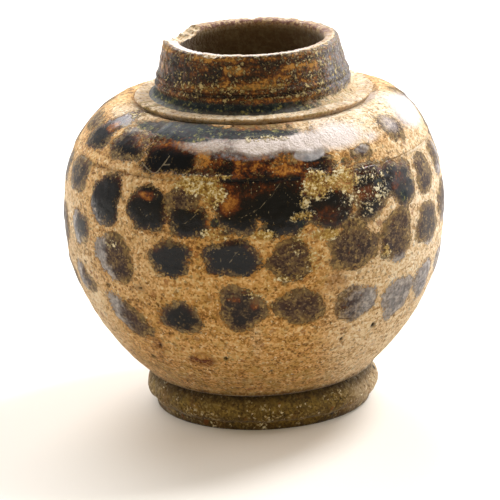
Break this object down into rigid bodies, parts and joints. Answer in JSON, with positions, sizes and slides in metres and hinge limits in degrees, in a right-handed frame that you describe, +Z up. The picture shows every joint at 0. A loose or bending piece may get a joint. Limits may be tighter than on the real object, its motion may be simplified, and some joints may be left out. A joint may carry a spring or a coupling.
{
  "type": "pottery jarlet",
  "caption": "Small round-bellied stoneware jarlet with a turned foot, a ledged and ridged neck with a chipped rim, and rows of dark glaze dabs.",
  "frame": {"origin": "centre of the foot's flat base, on the surface that the jarlet stands on", "axes": "+Z up along the turning axis, -Y towards the pictured side, +X to the right as seen from there"},
  "size_m": [0.067, 0.0669, 0.065],
  "materials": {
    "foot_clay": "matte",
    "body_clay": "matte",
    "neck_clay": "matte",
    "neck_glaze": "satin",
    "run_glaze": "gloss",
    "dab_glaze": "gloss"
  },
  "bodies": {
    "root": {"foot": "foot_clay", "lower_bowl": "body_clay", "shoulder": "body_clay", "neck": "neck_clay", "neck_glaze": "neck_glaze", "glaze_run_front": "run_glaze", "glaze_run_back": "run_glaze", "dab_a_01": "dab_glaze", "dab_a_02": "dab_glaze", "dab_a_03": "dab_glaze", "dab_a_04": "dab_glaze", "dab_a_05": "dab_glaze", "dab_b_01": "dab_glaze", "dab_b_02": "dab_glaze", "dab_b_03": "dab_glaze", "dab_b_04": "dab_glaze", "dab_b_05": "dab_glaze", "dab_b_06": "dab_glaze", "dab_c_01": "dab_glaze", "dab_c_02": "dab_glaze", "dab_c_03": "dab_glaze", "dab_c_04": "dab_glaze", "dab_c_05": "dab_glaze", "dab_c_06": "dab_glaze", "dab_c_07": "dab_glaze", "dab_c_08": "dab_glaze", "dab_c_09": "dab_glaze", "dab_c_10": "dab_glaze", "dab_c_11": "dab_glaze", "dab_c_12": "dab_glaze", "dab_c_13": "dab_glaze", "dab_c_14": "dab_glaze", "dab_c_15": "dab_glaze", "dab_c_16": "dab_glaze", "dab_c_17": "dab_glaze", "dab_c_18": "dab_glaze", "dab_c_19": "dab_glaze", "dab_c_20": "dab_glaze", "dab_d_01": "dab_glaze", "dab_d_02": "dab_glaze", "dab_d_03": "dab_glaze", "dab_d_04": "dab_glaze", "dab_d_05": "dab_glaze", "dab_d_06": "dab_glaze", "dab_d_07": "dab_glaze", "dab_d_08": "dab_glaze", "dab_d_09": "dab_glaze", "dab_d_10": "dab_glaze", "dab_d_11": "dab_glaze", "dab_d_12": "dab_glaze", "dab_d_13": "dab_glaze", "dab_d_14": "dab_glaze", "dab_d_15": "dab_glaze", "dab_d_16": "dab_glaze", "dab_d_17": "dab_glaze", "dab_d_18": "dab_glaze", "dab_d_19": "dab_glaze", "dab_d_20": "dab_glaze"}
  },
  "joints": []
}
